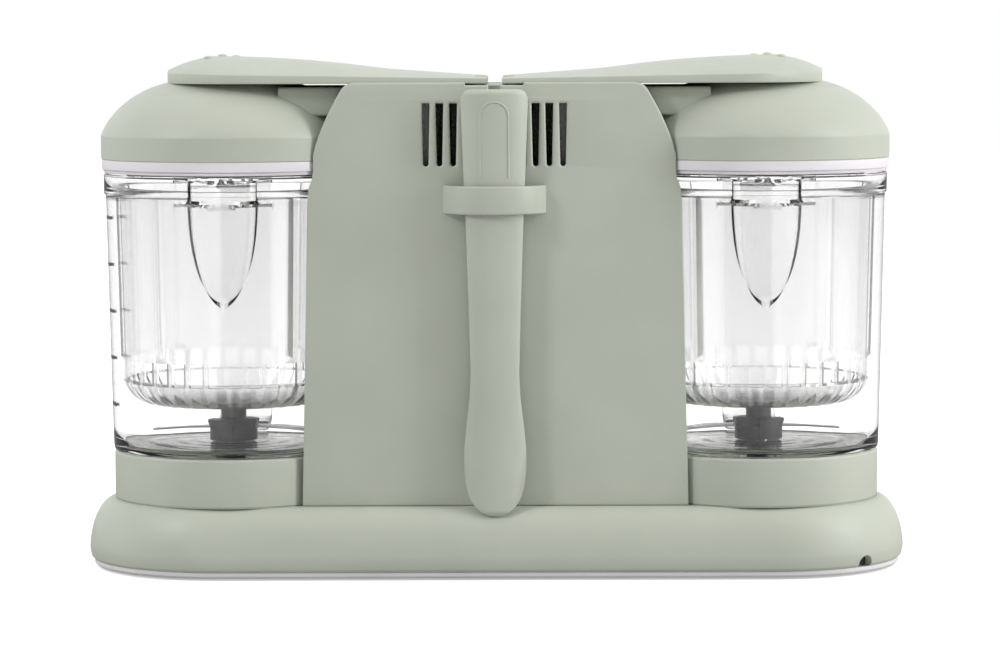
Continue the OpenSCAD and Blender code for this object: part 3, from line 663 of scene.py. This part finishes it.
def blade_hub(name, side):
    lo, hi = span(f"{name}_blade_hub")
    radius = (hi.x - lo.x) / 2
    neck, shoulder = 6.2, 69.7
    outline = [(0, lo.z), (radius - 0.8, lo.z), (radius, lo.z + 0.8)]
    outline += [(radius, z) for z in steps(lo.z + 1.2, shoulder - 0.8, 24)]
    outline += [(radius - 0.25, shoulder - 0.2), (radius - 0.8, shoulder)]
    outline += [(neck + 0.6, shoulder), (neck, shoulder + 0.5)]
    outline += [(neck, hi.z - 0.8), (neck - 0.8, hi.z), (0, hi.z)]

    def place(r, z, a):
        half_turn = math.degrees(a) % 180
        line = lo.z + (shoulder - lo.z) * (half_turn - 3) / 77
        if r > neck + 1 and half_turn > 3 and z < line:
            r -= 1.3
        if r > neck + 1 and half_turn > 100:
            z = min(z, shoulder - 4.5 * (r - neck) / (radius - neck) * min(1, (half_turn - 100) / 25))
        return turn(r, z, a)

    angles = [2 * math.pi * i / 180 for i in range(180)]
    rings = [[place(r, z, a) for r, z in outline] for a in angles]
    piece(f"{name}_hub", loft(rings), "black", f"{name}_drive", [f"{name}_blade_hub"], side, BOWL_X, 24)


def bezier(p0, p1, p2, p3, count):
    """Points along a cubic curve from p0 to p3."""
    out = []
    for t in steps(0, 1, count):
        s = 1 - t
        weights = (s * s * s, 3 * s * s * t, 3 * s * t * t, t * t * t)
        out.append(tuple(sum(w * p[k] for w, p in zip(weights, (p0, p1, p2, p3))) for k in (0, 1)))
    return out


def along(points, share):
    """The point at a share of the way through a list of flat points."""
    k = share * (len(points) - 1)
    return Vector(points[int(k)]).lerp(Vector(points[min(int(k) + 1, len(points) - 1)]), k % 1)


def blade_wings(name, side):
    """Two thin wings with a ground edge that droop a little towards their tips."""
    lo, hi = span(f"{name}_blade_wings")
    reach = (hi.x - lo.x) / 2
    back = [(5.0, -5.0)] + bezier((0.6 * reach, -5.5), (0.85 * reach, -4.5), (reach, -2), (reach, 4.5), 12)
    front = bezier((reach - 2.5, 9.5), (reach - 7, 5), (0.5 * reach, 3.6), (5.0, 5.0), 14)
    shapes = []
    for turned_by in (1, -1):
        rings = []
        for t in steps(0, 1, 24):
            b = along(back, t)
            f = along(front, 1 - t)
            z = hi.z + 0.7 - 2.2 * t
            loop = [b, b.lerp(f, 0.12), b.lerp(f, 0.8), f]
            tops = (z, z + 0.35, z + 0.35, z - 0.25)
            ring = [(p.x, p.y, h) for p, h in zip(loop, tops)]
            ring += [(p.x, p.y, z + 0.2 - 0.9) for p in reversed(loop[1:3])]
            rings.append([(turned_by * x, turned_by * y, h) for x, y, h in ring])
        shapes.append(loft(rings, closed=False))
    piece(f"{name}_blade", joined(*shapes), "steel", f"{name}_drive",
          [f"{name}_blade_wings"], side, BOWL_X, 20)


# ---------- lids ----------

NECK_HALF = 39
NECK_LOW = 219
NECK_TOP = 232.6
NECK_END = 69.5
NECK_LENGTH = 34


def dome_outline(radius, low, spring, flat, inset):
    """Outline of a dome: straight up to the spring line, then over the shoulder to the flat top."""
    shoulder = bezier((radius, spring), (radius - 3.2, spring + 9.5), (47 - inset, flat - 2), (22, flat), 48)
    return [(radius, low), (radius, spring - 0.5)] + shoulder + [(0, flat)]


def lid_dome(name, side):
    spring, wall = 209, 2.4
    outer = dome_outline(LID_RADIUS, LINER_TOP + 0.5, spring, DOME_FLAT, 0)
    inner = dome_outline(LID_RADIUS - wall, LINER_TOP, spring, DOME_FLAT - wall, wall)
    lip = [(LID_RADIUS - wall, LINER_TOP), (LID_RADIUS - 0.5, LINER_TOP)]
    shell = turned(list(reversed(inner)) + lip + outer, ROUND_STEPS)
    inner_x = NECK_END - BOWL_X
    section = rounded([(-NECK_HALF, NECK_LOW, 1.5), (NECK_HALF, NECK_LOW, 1.5),
                       (NECK_HALF, NECK_TOP, 2.2), (-NECK_HALF, NECK_TOP, 2.2)])

    def ring(x, inset):
        scale_y = 1 - inset / NECK_HALF
        scale_z = 1 - 2 * inset / (NECK_TOP - NECK_LOW)
        mid = (NECK_LOW + NECK_TOP) / 2
        return [(x, y * scale_y, mid + (z - mid) * scale_z) for y, z in section]

    neck = loft([ring(inner_x, 0.8), ring(inner_x + 0.25, 0.3), ring(inner_x + 0.8, 0),
                 ring(inner_x + NECK_LENGTH, 0)], closed=False)
    piece(f"{name}_lid_cover", joined(shell, neck), "sage", f"{name}_lid", [f"{name}_lid_dome"], side, BOWL_X)


def lid_liner(name, side):
    groove = LINER_LOW + 1.5
    outline = rounded([
        (12, LINER_LOW, 0.5), (62.2, LINER_LOW, 0.5), (62.7, groove - 0.3, 0.2), (62.2, groove - 0.25),
        (62.2, groove + 0.25), (63.3, groove + 0.3, 0.3), (63.3, LINER_TOP, 0.3), (58, LINER_TOP),
        (58, LINER_LOW + 2.5, 0.5), (12, LINER_LOW + 2.5, 0.5)])
    piece(f"{name}_liner_ring", turned(outline, ROUND_STEPS), "trim", f"{name}_lid",
          [f"{name}_lid_liner"], side, BOWL_X)


# Heights of the lever along X: on its crest and on its side edges.
CREST = [(3, 237.0), (51, 241), (73, 243.7), (89, 245.3), (108, 246.6), (125, 247.3), (138, 247.5),
         (147, 245.6), (153, 243.6), (159.7, 240.6)]
SIDE_EDGE = [(3, 236.8), (80, 238), (121, 238.6), (149, 239.2), (159.7, 239.4)]
LEVER_ROUND = 118
EAR_PLACES = (-30, 0, 30)
EAR_HALF = 4.45
DOT_MIDDLE = 133


def lever_half(x):
    """Half of the lever's width, which rounds off beyond LEVER_ROUND."""
    if x < LEVER_ROUND:
        return LEVER_HALF
    return LEVER_HALF * math.sqrt(max(0.0, 1 - ((x - LEVER_ROUND) / (LEVER_REACH - LEVER_ROUND)) ** 2))


def lever_top(x, t):
    """Height of the lever's upper face; t is 0 on the crest and 1 on the side edge."""
    flat = max(0.0, 1 - x / 51)
    fall = (max(0.0, abs(t) - flat) / (1 - flat + 0.01)) ** 1.7
    low = lookup(x, SIDE_EDGE)
    return low + (lookup(x, CREST) - low) * (1 - fall)


def lid_lever(name, side):
    xs = [3.7, 3.9, 4.6] + steps(7, LEVER_ROUND, 40)
    xs += [LEVER_ROUND + (LEVER_REACH - LEVER_ROUND) * math.sin(math.radians(a)) for a in steps(4, 89.2, 34)]
    rings = []
    for x in xs:
        half = lever_half(x)
        edge = min(0.5, half * 0.4)
        drop = 0.6 if x < 3.8 else 0.2 if x < 4 else 0
        ring = [(x, half * t - math.copysign(edge * 0.02, t), lever_top(x, t) - drop)
                for t in steps(-1, 1, 33)[1:-1]]
        top_edge = lever_top(x, 1)
        for sign in (1, -1):
            corner = [(half - edge * 0.3, top_edge - 0.12), (half, top_edge - 0.55), (half, LEVER_LOW + 0.5),
                      (half - edge * 0.5, LEVER_LOW)]
            if sign < 0:
                corner.reverse()
            ring += [(x, sign * y, z) for y, z in corner]
        rings.append(ring)
    body = loft(rings, closed=False)
    body = cut(body, [block(-1, 9.5, y - EAR_HALF, y + EAR_HALF, 230, 245) for y in EAR_PLACES])
    dots = []
    for i in (-1, 0, 1):
        x, y = DOT_MIDDLE + 6 * i, -9 * i
        z = lever_top(x, abs(y) / lever_half(x))
        cap = [(0, z - 1), (2.4, z - 1), (2.4, z - 0.05), (2.0, z + 0.55), (1.2, z + 0.9), (0, z + 1.0)]
        dots.append(turned(cap, 32, x, y))
    piece(f"{name}_lever_plate", joined(body, *dots), "sage", f"{name}_lid",
          [f"{name}_lid_lever"], side, 0, 24)


# ---------- column ----------

# Radius of the room that the column leaves round a bowl's axis, by height.
COLUMN_ROOM = [(32, 60.8), (180, 62.8), (184, 63), (190.5, 64.6), (260, 64.8)]
SHOULDER = (bezier((89.9, 185), (88.3, 202), (80.3, 220), (72.8, 232), 14)
            + bezier((72.8, 232), (71.4, 233.6), (69.9, COLUMN_TOP), (65.9, COLUMN_TOP), 6)[1:])


def column_limit(y, z):
    """Greatest |X| of the column's side at a depth and height, where it leaves room for the bowl."""
    room = lookup(z, COLUMN_ROOM)
    return BOWL_X - math.sqrt(max(0.0, room ** 2 - y ** 2))


def cover_outline(notch):
    """Front outline of a cover; a notch above 0 is the half width of the slot in its top edge."""
    right = [(column_limit(COLUMN_FACE, z), z) for z in steps(BASE_TOP, 184.9, 24)]
    right += [(min(x, column_limit(COLUMN_FACE, z)), z) for x, z in SHOULDER[1:]]
    recess = 233.6
    right += [(14.4, COLUMN_TOP), (14, COLUMN_TOP - 0.3), (14, recess + 0.3), (13.6, recess)]
    if notch:
        right += [(notch + 0.5, recess), (notch, recess - 0.5), (notch, 229.3), (notch - 0.3, 229)]
    return right + [(-x, z) for x, z in reversed(right)]


def vent_slot(x, low, high, half_low, half_high):
    """A slot with a round foot that widens towards the top."""
    bottom = [(x + half_low * math.cos(a), low + half_low + half_low * math.sin(a))
              for a in arc(180, 360, 13)]
    top = rounded([(x + half_high, high - 1), (x + half_high, high, 0.5), (x - half_high, high, 0.5),
                   (x - half_high, high - 1)], False)
    return bottom + top


def circle(x, z, radius, count=48):
    return [(x + radius * math.cos(2 * math.pi * i / count), z + radius * math.sin(2 * math.pi * i / count))
            for i in range(count)]


def cover(name, node, facing, holes, notch):
    """One cover of the column, its sides following the room round the bowls."""
    y0, y1 = sorted((facing * COLUMN_FACE, facing * abs(COVER_BACK)))
    points, faces = plate([cover_outline(notch)] + holes, y0, y1, 1.1)
    held = []
    for x, y, z in points:
        limit = column_limit(y, z)
        held.append((max(-limit, min(limit, x)), y, z))
    piece(name, (held, faces), "sage", "housing", [node], sharp_angle=30)


def column():
    """The two covers: vents on one side, holes for the knobs' shafts and the lenses on the other."""
    pitch = 6.55
    vents = [vent_slot(i * pitch, 195, 225, 1.3, 1.9) for i in range(-5, 6)]
    cover("vent_side_cover", "vent_cover", -1, vents, 2.8)
    knob = middle("right_knob")
    lens = middle("indicator_lenses")
    holes = [circle(s * knob.x, knob.z, 3.2) for s in (-1, 1)]
    holes += [circle(s * knob.x, lens.z, 3.05) for s in (-1, 1)]
    cover("control_side_cover", "control_cover", 1, holes, 0)


# ---------- spatula ----------

# Half of the spatula's width and the place of its back face, by height over its tip.
SPATULA_HALF = [(0, 3), (1.5, 6.5), (4, 9.5), (8, 12), (14, 13.9), (22, 14.8), (32, 14.8), (44, 13.6),
                (56, 12.1), (68, 11.6), (100, 12.4), (144, 13.9), (160, 14.6), (196, 16.0), (199, 15.9),
                (201.5, 14.9), (202.6, 13.4), (203, 12.0)]
SPATULA_BACK = [(0, -60.6), (4, -59.8), (33, -56.5), (67, -52.5), (91, -51), (197, -51), (201, -53),
                (203, -57)]
FRONT_CURVE = 25
ARCH_HALF, ARCH_FOOT, ARCH_SPRING = 6.8, 190, 219


def spatula():
    """The spatula with its raised arch line; its front is curved across."""
    height = SPATULA_HIGH.z - SPATULA_LOW.z
    front = SPATULA_LOW.y
    rings = []
    for s in steps(0, 1, 90):
        h = height * (0.5 - 0.5 * math.cos(math.pi * s))
        half = lookup(h, SPATULA_HALF)
        end = min(h, height - h)
        soften = 1.6 * max(0.0, 1 - end / 2.2) ** 2
        back = lookup(h, SPATULA_BACK)
        ring = []
        for t in steps(-1, 1, 25):
            x = half * t
            lift = FRONT_CURVE - math.sqrt(FRONT_CURVE ** 2 - x * x)
            ring.append((x, min(front + lift + soften + 0.5 * abs(t) ** 12, back - 0.6), SPATULA_LOW.z + h))
        side_y = ring[-1][1]
        ring += [(half, min(side_y + 0.7, back - 0.4), SPATULA_LOW.z + h)]
        ring += [(half * t, back - 0.5 * abs(t) ** 8, SPATULA_LOW.z + h) for t in steps(0.985, -0.985, 13)]
        ring += [(-half, min(side_y + 0.7, back - 0.4), SPATULA_LOW.z + h)]
        rings.append(ring)
    arch = [(-ARCH_HALF, ARCH_FOOT)]
    arch += [(-ARCH_HALF * math.cos(a), ARCH_SPRING + ARCH_HALF * math.sin(a)) for a in arc(0, 180, 17)]
    arch += [(ARCH_HALF, ARCH_FOOT)]
    tube = [(0.45 * math.cos(a), 0.45 * math.sin(a)) for a in (2 * math.pi * i / 10 for i in range(10))]

    def on_front(x, z, out):
        return (x, front + FRONT_CURVE - math.sqrt(FRONT_CURVE ** 2 - min(x * x, 600)) + out, z)

    line = swept(arch, tube, on_front)
    shape = joined(loft(rings, closed=False), line)
    piece("sage_spatula", shape, "spatula", "spatula", ["spatula"], sharp_angle=40)


def spatula_holder():
    """A curved strap with two feet in the cover's face."""
    face = -COLUMN_FACE
    depth = face - HOLDER_LOW.y
    half = HOLDER_HIGH.x
    low, high = HOLDER_LOW.z, HOLDER_HIGH.z
    wall = 2.0
    radius = (half ** 2 + depth ** 2) / (2 * depth) - wall / 2
    centre_y = face - depth + wall / 2 + radius
    reach = math.acos((centre_y + COLUMN_FACE) / radius)
    path = [(radius * math.sin(a), centre_y - radius * math.cos(a)) for a in steps(-reach, reach, 49)]
    section = rounded([(-wall / 2, low, 0.9), (wall / 2, low, 0.9), (wall / 2, high, 0.9),
                       (-wall / 2, high, 0.9)])
    band = swept(path, section, lambda x, y, w: (x, y, w))
    feet = [block(s * 23.7 - 1.1, s * 23.7 + 1.1, face - 0.4, face + 1.9, 174, 184.6) for s in (-1, 1)]
    piece("spatula_strap", joined(band, *feet), "spatula", "housing", ["spatula_holder"])


# ---------- controls ----------

def knob(name, side):
    """A round dial with a grip across it, a marker and a shaft into the cover."""
    lo, hi = span(f"{name}_knob")
    radius = (hi.x - lo.x) / 2
    x0, z0 = middle("right_knob").x, middle("right_knob").z
    face, top = COLUMN_FACE + 0.4, hi.y
    outline = rounded([(0, face), (radius, face, 0.4), (radius - 0.4, face + 5, 1.0),
                       (radius - 2.5, face + 5.6, 0.8), (0, face + 5.6)])
    shaft = rounded([(0, 40), (3, 40, 0.3), (3, face + 1), (0, face + 1)])

    def laid(shape):
        """Turns a shape's upright axis towards +Y and moves it to the knob's middle."""
        points, faces = shape
        return [(x0 + x, z, z0 + y) for x, y, z in points], faces

    grip_half, grip_round = 4.2, 3.4
    length = radius - 2.2
    rings = []
    for h, grow in ((face + 5.0, 0.6), (face + 6.5, 0.15), (top - 1.2, -0.2), (top - 0.3, -0.6), (top, -1.3)):
        end, edge = length + grow * 0.4, grip_half + grow
        ring = rounded([(-end, -edge, grip_round), (end, -edge, grip_round), (end, edge, grip_round),
                        (-end, edge, grip_round)], True, 8)
        rings.append([(x0 + y, h, z0 + x) for x, y in ring])
    grip = loft(rings, closed=False)
    disc = laid(turned(outline, 96))
    stem = laid(turned(shaft, 48))
    marker = block(x0 - 0.5, x0 + 0.5, top - 0.1, top, z0 + length - 7, z0 + length - 2)
    piece(f"{name}_dial", joined(disc, stem, grip, marker), "trim", f"{name}_knob", [f"{name}_knob"], side)


for side_name, side_sign in SIDES.items():
    bowl_socket(side_name, side_sign)
    bowl(side_name, side_sign)
    bowl_handle(side_name, side_sign)
    steam_basket(side_name, side_sign)
    volume_marks(side_name, side_sign)
    blade_hub(side_name, side_sign)
    blade_wings(side_name, side_sign)
    lid_dome(side_name, side_sign)
    lid_liner(side_name, side_sign)
    lid_lever(side_name, side_sign)
    knob(side_name, side_sign)
column()
spatula()
spatula_holder()


# ---------- CAD nodes that stay as they are ----------

CARRIED = {
    "bowl_bush": "black", "blade_locknut": "black", "blade_shaft": "steel", "drive_coupling": "black",
    "drive_pulley": "rubber", "drive_belt": "rubber", "motor_pulley": "steel", "motor_can": "steel",
    "lid_seal": "rubber", "tank_seal": "rubber", "boiler": "steel", "rubber_feet": "rubber",
    "column_shell": "sage", "top_deck": "sage", "hinge_pins": "steel", "circuit_board": "board",
    "cord_gland": "rubber", "screws": "steel", "heater_plates": "steel", "filler_rings": "trim",
    "indicator_lenses": "lens", "drive_bearings": "steel",
}


def finish_carried():
    """Gives the inner pieces, which keep their CAD shape, a finish of their own."""
    for node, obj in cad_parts.items():
        part = node.removeprefix("left_").removeprefix("right_")
        if part in CARRIED:
            obj.data.materials.clear()
            obj.data.materials.append(FINISHES[CARRIED[part]])


finish_carried()


# ---------- floor, light and camera ----------

def floor():
    """A floor that looks white, but throws only a little light up at the body and into reflections."""
    size = 6.0
    mesh = bpy.data.meshes.new("floor")
    corners = [(-size, -size, 0), (size, -size, 0), (size, size, 0), (-size, size, 0)]
    mesh.from_pydata(corners, [], [(0, 1, 2, 3)])
    nodes = Nodes("pale_floor")
    path = nodes.add("ShaderNodeLightPath")
    nodes.colour(path.outputs["Is Diffuse Ray"], linear(246, 246, 246), linear(196, 196, 196))
    glow = nodes.add("ShaderNodeMapRange", **{"To Min": 0.42, "To Max": 0.0})
    nodes.link(path.outputs["Is Diffuse Ray"], glow.inputs["Value"])
    nodes.link(glow.outputs["Result"], nodes.shader.inputs["Emission Strength"])
    nodes.set(Roughness=0.9, Specular_IOR_Level=0.1, Emission_Color=(1, 1, 1, 1))
    mirrored = nodes.add("ShaderNodeEmission", Strength=0.3)
    reflection = nodes.add("ShaderNodeMath", operation="SUBTRACT", use_clamp=True)
    nodes.link(path.outputs["Is Glossy Ray"], reflection.inputs[0])
    nodes.link(path.outputs["Is Transmission Ray"], reflection.inputs[1])
    mix = nodes.add("ShaderNodeMixShader")
    nodes.link(reflection.outputs["Value"], mix.inputs["Fac"])
    nodes.link(nodes.shader.outputs["BSDF"], mix.inputs[1])
    nodes.link(mirrored.outputs["Emission"], mix.inputs[2])
    nodes.link(mix.outputs["Shader"], nodes.tree.nodes["Material Output"].inputs["Surface"])
    mesh.materials.append(nodes.material)
    obj = bpy.data.objects.new("floor", mesh)
    SCENE.collection.objects.link(obj)


def world_light():
    """Even white surroundings: brightest overhead and to the sides, dimmer where the camera stands.

    What shows through the clear plastic is a white field behind the body with darker sides."""
    world = bpy.data.worlds.new("studio")
    SCENE.world = world
    world.use_nodes = True
    tree = world.node_tree
    nodes, links = tree.nodes, tree.links
    nodes.clear()
    place = nodes.new("ShaderNodeTexCoord")
    split = nodes.new("ShaderNodeSeparateXYZ")
    links.new(place.outputs["Generated"], split.inputs["Vector"])

    def ramp(source, stops):
        ramp_node = nodes.new("ShaderNodeMapRange")
        ramp_node.interpolation_type = "SMOOTHSTEP"
        for name, value in zip(("From Min", "From Max", "To Min", "To Max"), stops):
            ramp_node.inputs[name].default_value = value
        links.new(source, ramp_node.inputs["Value"])
        return ramp_node.outputs["Result"]

    def combine(operation, first, second):
        math_node = nodes.new("ShaderNodeMath")
        math_node.operation = operation
        links.new(first, math_node.inputs[0])
        links.new(second, math_node.inputs[1])
        return math_node.outputs["Value"]

    behind = ramp(split.outputs["Y"], (-0.6, 0.5, 0.19, 1.0))
    right = ramp(split.outputs["X"], (0.5, 0.9, 0.0, 1.35))
    left = ramp(split.outputs["X"], (-0.55, -0.95, 0.0, 1.15))
    above = ramp(split.outputs["Z"], (0.3, 1.0, 0.0, 1.15))
    strength = combine("MAXIMUM", combine("MAXIMUM", behind, combine("MAXIMUM", left, right)), above)
    path = nodes.new("ShaderNodeLightPath")
    field = ramp(split.outputs["Y"], (0.5, 0.93, 0.25, 1.0))
    through = nodes.new("ShaderNodeMix")
    links.new(path.outputs["Is Transmission Ray"], through.inputs["Factor"])
    links.new(strength, through.inputs["A"])
    links.new(field, through.inputs["B"])
    seen = combine("MAXIMUM", through.outputs["Result"], path.outputs["Is Camera Ray"])
    background = nodes.new("ShaderNodeBackground")
    background.inputs["Color"].default_value = (1, 1, 1, 1)
    links.new(seen, background.inputs["Strength"])
    output = nodes.new("ShaderNodeOutputWorld")
    links.new(background.outputs["Background"], output.inputs["Surface"])


def softbox(name, at, aim, size, power):
    """A rectangular lamp at one place, aimed at another; its power is in watts."""
    light = bpy.data.lights.new(name, "AREA")
    light.shape = "RECTANGLE"
    light.size, light.size_y = size
    light.energy = power
    obj = bpy.data.objects.new(name, light)
    obj.location = at
    obj.rotation_euler = (Vector(aim) - Vector(at)).to_track_quat("-Z", "Y").to_euler()
    SCENE.collection.objects.link(obj)


def camera():
    """The photograph's view: from the vent side, a little above and 1.9 m away."""
    data = bpy.data.cameras.new("camera")
    data.lens = 139.8
    data.sensor_width = 36
    data.dof.use_dof = False
    data.clip_end = 50
    yaw, pitch, roll = (math.radians(a) for a in (-0.34, 4.43, -0.19))
    ahead = Vector((math.sin(yaw) * math.cos(pitch), math.cos(yaw) * math.cos(pitch), -math.sin(pitch)))
    level = Vector((math.cos(yaw), -math.sin(yaw), 0))
    upright = level.cross(ahead)
    right = level * math.cos(roll) + upright * math.sin(roll)
    up = upright * math.cos(roll) - level * math.sin(roll)
    obj = bpy.data.objects.new("camera", data)
    obj.matrix_world = Matrix((right, up, -ahead)).transposed().to_4x4()
    obj.location = (0.0134, BODY_Y * MM - 1.9, 0.2635 + BODY_Z * MM)
    SCENE.collection.objects.link(obj)
    SCENE.camera = obj


floor()
world_light()
softbox("key_right", (1.7, -0.6, 0.8), (0, 0, 0.12), (0.5, 1.2), 18)
softbox("fill_left", (-1.25, -0.95, 1.1), (0, 0, 0.18), (0.3, 0.4), 9)
camera()
SCENE.view_settings.view_transform = "Standard"
SCENE.cycles.max_bounces = 24
SCENE.cycles.transmission_bounces = 24
SCENE.cycles.transparent_max_bounces = 24
